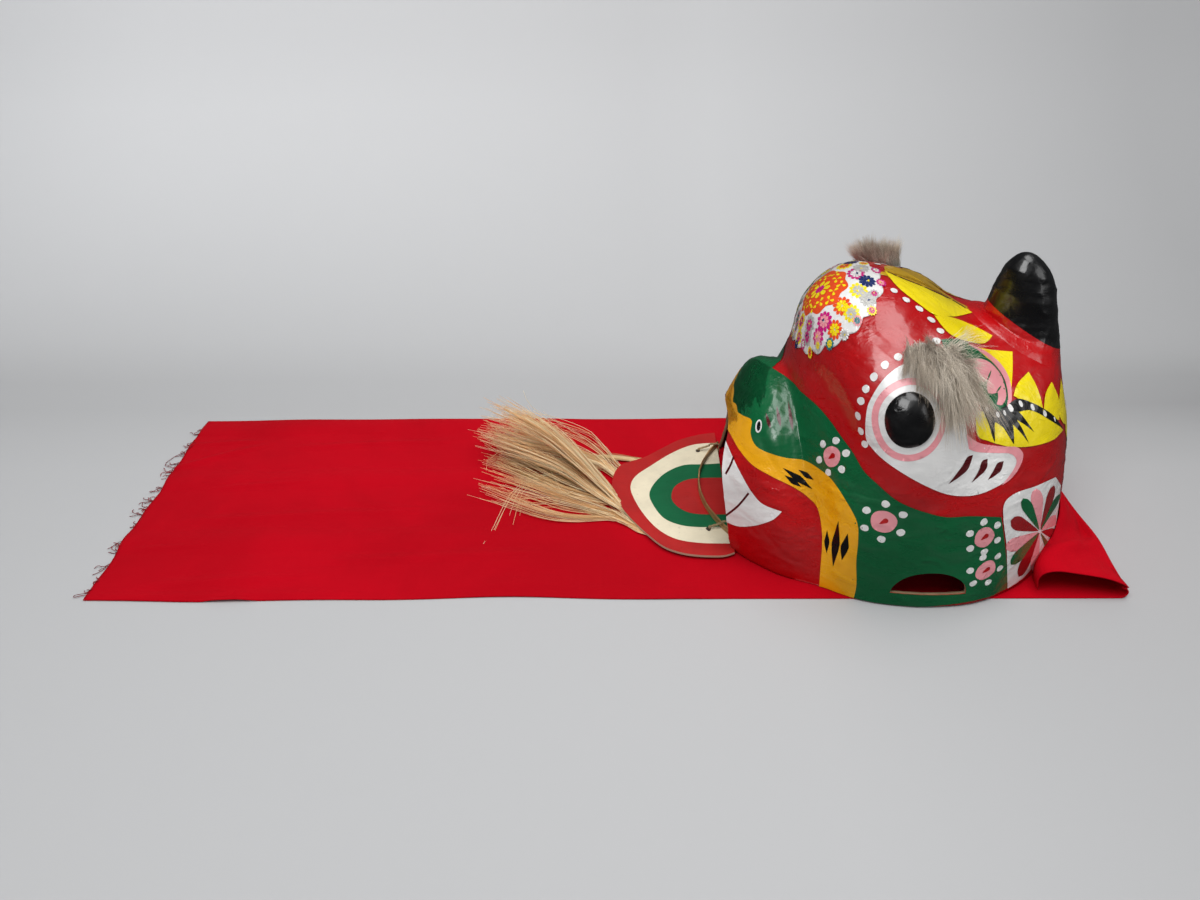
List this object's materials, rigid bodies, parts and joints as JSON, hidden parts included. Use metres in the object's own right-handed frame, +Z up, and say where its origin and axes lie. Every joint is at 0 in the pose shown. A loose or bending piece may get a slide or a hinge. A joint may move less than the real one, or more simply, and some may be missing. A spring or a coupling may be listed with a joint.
{
  "type": "lion dance head",
  "caption": "Hollow moulded-paper lion dance head with a horn, fur eyebrows, a tied jaw board with bamboo bow and hemp beard, and a cotton body cloth.",
  "frame": {"origin": "on the floor under the middle of the shell, on the underside of the body cloth", "axes": "+X from the mouth to the back of the head, so the lion faces -X; +Y towards the lion's right side; +Z up"},
  "size_m": [0.781, 0.2737, 0.2195],
  "materials": {
    "lacquer_red": "gloss lacquer over moulded paper",
    "printed_paper": "varnished print",
    "grey_fur": "soft fur",
    "red_cotton": "plain weave",
    "board": "painted face, raw edge",
    "bamboo": "split bamboo",
    "hemp": "raw fibre"
  },
  "bodies": {
    "root": {"head_shell": "lacquer_red", "forehead_paper": "printed_paper", "eyebrow_left": "grey_fur", "eyebrow_right": "grey_fur", "body_cloth": "red_cotton"},
    "jaw": {"jaw_board": "board", "bamboo_bow": "bamboo", "tie_left": "hemp", "tie_right": "hemp", "hemp_beard": "hemp"}
  },
  "joints": [
    {"name": "jaw_hinge", "type": "hinge", "parent": "root", "child": "jaw", "pos_m": [-0.1435, 0, 0.0041], "axis": [0, 1, 0], "range_deg": [0, 60]}
  ]
}
